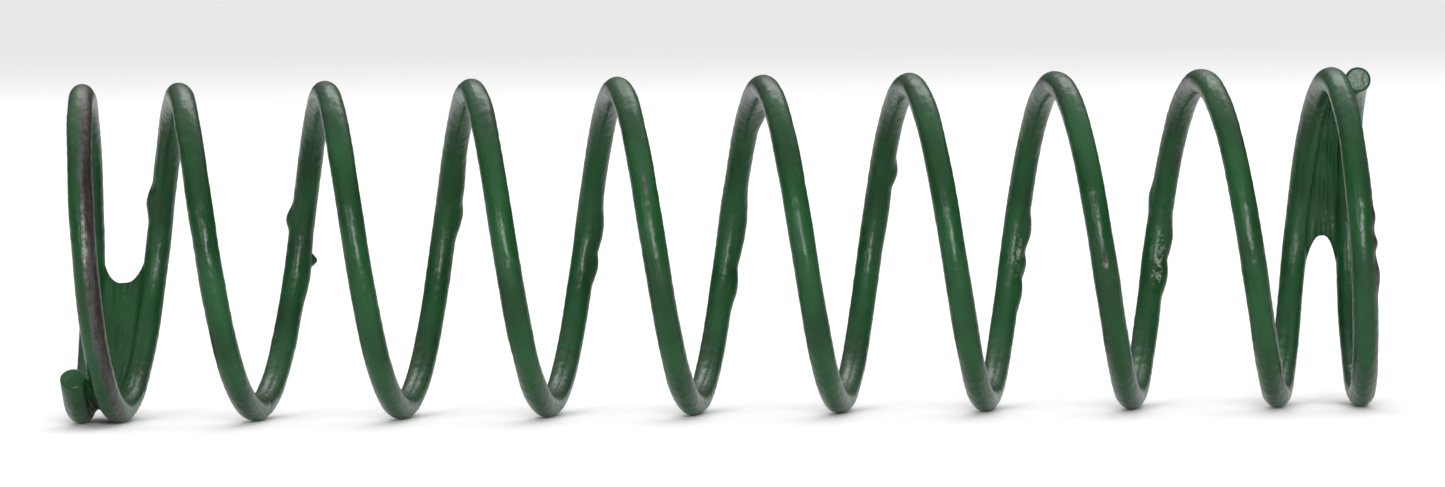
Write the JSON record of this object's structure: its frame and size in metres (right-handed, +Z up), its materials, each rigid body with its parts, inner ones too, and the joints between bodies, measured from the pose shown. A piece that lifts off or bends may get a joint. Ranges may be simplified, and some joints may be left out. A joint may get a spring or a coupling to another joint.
{
  "type": "coil spring",
  "caption": "Helical compression spring with closed ends, wound from round steel wire and dipped in thick green paint that bridges its closed ends and leaves small drips.",
  "frame": {"origin": "centre of the bottom of the spring's box as it lies on its side", "axes": "+X along the coil's axis, from the fixed closed end to the moving one; +Z up"},
  "size_m": [0.1664, 0.0432, 0.0433],
  "materials": {
    "spring_steel": "drawn spring steel wire, hidden under the paint",
    "green_paint": "thick glossy dipped enamel, dark green"
  },
  "bodies": {
    "fixed_end": {"left_end_wire": "spring_steel", "left_end_paint": "green_paint", "left_paint_bridge": "green_paint"},
    "turn_1": {"turn_1_wire": "spring_steel", "turn_1_paint": "green_paint", "turn_1_drips": "green_paint"},
    "turn_2": {"turn_2_wire": "spring_steel", "turn_2_paint": "green_paint", "turn_2_drips": "green_paint"},
    "turn_3": {"turn_3_wire": "spring_steel", "turn_3_paint": "green_paint", "turn_3_drips": "green_paint"},
    "turn_4": {"turn_4_wire": "spring_steel", "turn_4_paint": "green_paint", "turn_4_drips": "green_paint"},
    "turn_5": {"turn_5_wire": "spring_steel", "turn_5_paint": "green_paint", "turn_5_drips": "green_paint"},
    "turn_6": {"turn_6_wire": "spring_steel", "turn_6_paint": "green_paint", "turn_6_drips": "green_paint"},
    "turn_7": {"turn_7_wire": "spring_steel", "turn_7_paint": "green_paint", "turn_7_drips": "green_paint"},
    "moving_end": {"right_end_wire": "spring_steel", "right_end_paint": "green_paint", "right_paint_bridge": "green_paint"}
  },
  "joints": [
    {"name": "gap_1_closing", "type": "slide", "parent": "fixed_end", "child": "turn_1", "axis": [-1, 0, 0], "range_m": [0, 0.008], "stiffness_N_per_m": 18160},
    {"name": "gap_2_closing", "type": "slide", "parent": "turn_1", "child": "turn_2", "axis": [-1, 0, 0], "range_m": [0, 0.014], "stiffness_N_per_m": 10380},
    {"name": "gap_3_closing", "type": "slide", "parent": "turn_2", "child": "turn_3", "axis": [-1, 0, 0], "range_m": [0, 0.014], "stiffness_N_per_m": 10380},
    {"name": "gap_4_closing", "type": "slide", "parent": "turn_3", "child": "turn_4", "axis": [-1, 0, 0], "range_m": [0, 0.014], "stiffness_N_per_m": 10380},
    {"name": "gap_5_closing", "type": "slide", "parent": "turn_4", "child": "turn_5", "axis": [-1, 0, 0], "range_m": [0, 0.014], "stiffness_N_per_m": 10380},
    {"name": "gap_6_closing", "type": "slide", "parent": "turn_5", "child": "turn_6", "axis": [-1, 0, 0], "range_m": [0, 0.014], "stiffness_N_per_m": 10380},
    {"name": "gap_7_closing", "type": "slide", "parent": "turn_6", "child": "turn_7", "axis": [-1, 0, 0], "range_m": [0, 0.014], "stiffness_N_per_m": 10380},
    {"name": "gap_8_closing", "type": "slide", "parent": "turn_7", "child": "moving_end", "axis": [-1, 0, 0], "range_m": [0, 0.008], "stiffness_N_per_m": 18160}
  ],
  "couplings": [
    {"joint": "gap_2_closing", "follows": "gap_1_closing", "ratio": 1.75},
    {"joint": "gap_3_closing", "follows": "gap_1_closing", "ratio": 1.75},
    {"joint": "gap_4_closing", "follows": "gap_1_closing", "ratio": 1.75},
    {"joint": "gap_5_closing", "follows": "gap_1_closing", "ratio": 1.75},
    {"joint": "gap_6_closing", "follows": "gap_1_closing", "ratio": 1.75},
    {"joint": "gap_7_closing", "follows": "gap_1_closing", "ratio": 1.75},
    {"joint": "gap_8_closing", "follows": "gap_1_closing", "ratio": 1}
  ]
}
